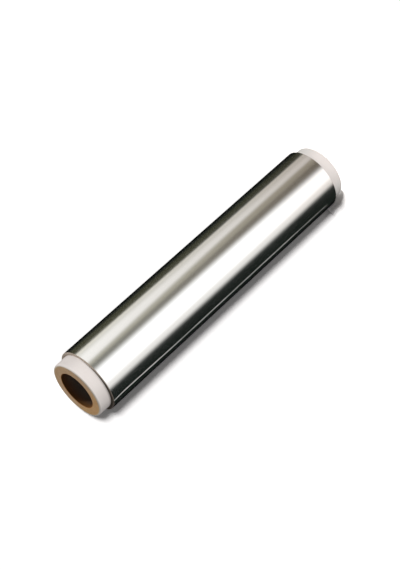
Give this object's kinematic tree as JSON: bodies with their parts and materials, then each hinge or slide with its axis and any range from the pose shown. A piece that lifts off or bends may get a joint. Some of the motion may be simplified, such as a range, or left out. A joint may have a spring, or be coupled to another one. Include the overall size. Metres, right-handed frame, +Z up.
{
  "type": "aluminium foil roll",
  "caption": "Bright aluminium foil wound on a thick board tube whose white ends stand out past the foil, with an open bore for a spindle.",
  "frame": {"origin": "middle of the lower end of the tube, on the surface that the roll stands on", "axes": "+Z up along the roll's axis, -Y towards the side that faces the picture's camera; the foil's free edge lies towards -X and -Y"},
  "size_m": [0.0619, 0.062, 0.325],
  "materials": {
    "kraft_board": "matte cut board",
    "white_board": "matte smooth board",
    "foil": "bright rolled foil"
  },
  "bodies": {
    "root": {"kraft_tube": "kraft_board", "white_sleeve": "white_board", "foil_winding": "foil"}
  },
  "joints": []
}
